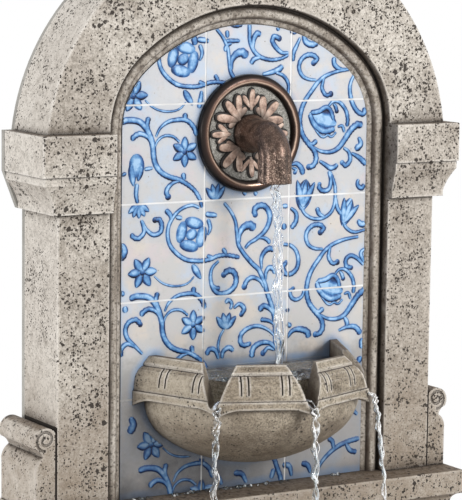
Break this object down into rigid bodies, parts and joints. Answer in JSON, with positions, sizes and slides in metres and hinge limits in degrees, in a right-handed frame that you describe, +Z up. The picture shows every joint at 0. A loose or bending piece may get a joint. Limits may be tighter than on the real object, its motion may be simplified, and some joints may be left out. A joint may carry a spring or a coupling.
{
  "type": "floor fountain",
  "caption": "Arched floor fountain in cast stone with a tiled back panel, bronze spout, notched upper bowl and a lower basin with a pump.",
  "frame": {"origin": "on the floor under the middle of the object's overall box", "axes": "+Z up, the tiled front faces -Y, +X to the right of a viewer in front"},
  "size_m": [0.503, 0.316, 0.857],
  "materials": {
    "stone_body": "pitted cast stone, matt",
    "stone_frame": "cast stone with a dark wash, matt",
    "stone_bowl": "cast stone, browner and damp",
    "stone_basin": "cast stone, browner and damp",
    "backer": "grey cement board",
    "tile_glaze": "white glaze with blue painted scrollwork",
    "grout": "white cement grout",
    "bronze_ring": "dark bronze, rubbed copper on the crests",
    "bronze_leaf": "rubbed copper",
    "bronze_spout": "dark bronze with copper flecks",
    "rubber_black": "matt black",
    "hose_vinyl": "smooth black vinyl",
    "pump_plastic": "moulded black",
    "dial_plastic": "moulded blue",
    "impeller_plastic": "moulded white",
    "shaft_ceramic": "white ceramic",
    "steel": "stainless",
    "magnet": "sintered magnet",
    "door_panel": "stone-coloured moulding"
  },
  "bodies": {
    "fountain": {"plinth": "stone_body", "pilaster_left": "stone_body", "pilaster_right": "stone_body", "capital_left": "stone_body", "capital_right": "stone_body", "arch_ring": "stone_body", "scroll_left": "stone_body", "scroll_right": "stone_body", "panel_frame": "stone_frame", "upper_bowl": "stone_bowl", "lower_basin": "stone_basin", "back_panel": "backer", "tile_bed": "backer", "wall_tiles": "tile_glaze", "grout_lines": "grout", "medallion": "bronze_ring", "acanthus_leaves": "bronze_leaf", "spout": "bronze_spout", "spout_washer": "rubber_black", "rubber_feet": "rubber_black", "suction_cups": "rubber_black", "rear_bush": "rubber_black", "cord_grommet": "rubber_black", "drain_bush": "rubber_black", "supply_hose": "hose_vinyl", "pump_housing": "pump_plastic", "pump_outlet": "pump_plastic", "elbow_barb": "pump_plastic", "hose_clips": "pump_plastic", "impeller_shaft": "shaft_ceramic", "spout_nut": "steel", "hose_clamps": "steel", "bowl_bolts": "steel", "panel_screws": "steel", "hinge_pins": "steel", "catch_magnet": "magnet"},
    "impeller": {"impeller": "impeller_plastic"},
    "intake_cover": {"intake_cover": "pump_plastic", "front_bush": "rubber_black"},
    "flow_dial": {"flow_dial": "dial_plastic"},
    "access_door": {"access_door": "door_panel", "catch_plate": "steel"},
    "drain_plug": {"drain_plug": "rubber_black"}
  },
  "joints": [
    {"name": "impeller_spin", "type": "hinge", "parent": "fountain", "child": "impeller", "pos_m": [-0.014, 0.125, 0.038], "axis": [1, 0, 0], "continuous": true},
    {"name": "cover_pull", "type": "slide", "parent": "fountain", "child": "intake_cover", "axis": [1, 0, 0], "range_m": [0, 0.025]},
    {"name": "dial_turn", "type": "hinge", "parent": "intake_cover", "child": "flow_dial", "pos_m": [0.019, 0.125, 0.038], "axis": [1, 0, 0], "range_deg": [0, 90]},
    {"name": "door_swing", "type": "hinge", "parent": "fountain", "child": "access_door", "pos_m": [-0.0965, 0.155, 0.171], "axis": [0, 0, 1], "range_deg": [0, 90]},
    {"name": "plug_pull", "type": "slide", "parent": "fountain", "child": "drain_plug", "axis": [-1, 0, 0], "range_m": [0, 0.03]}
  ]
}
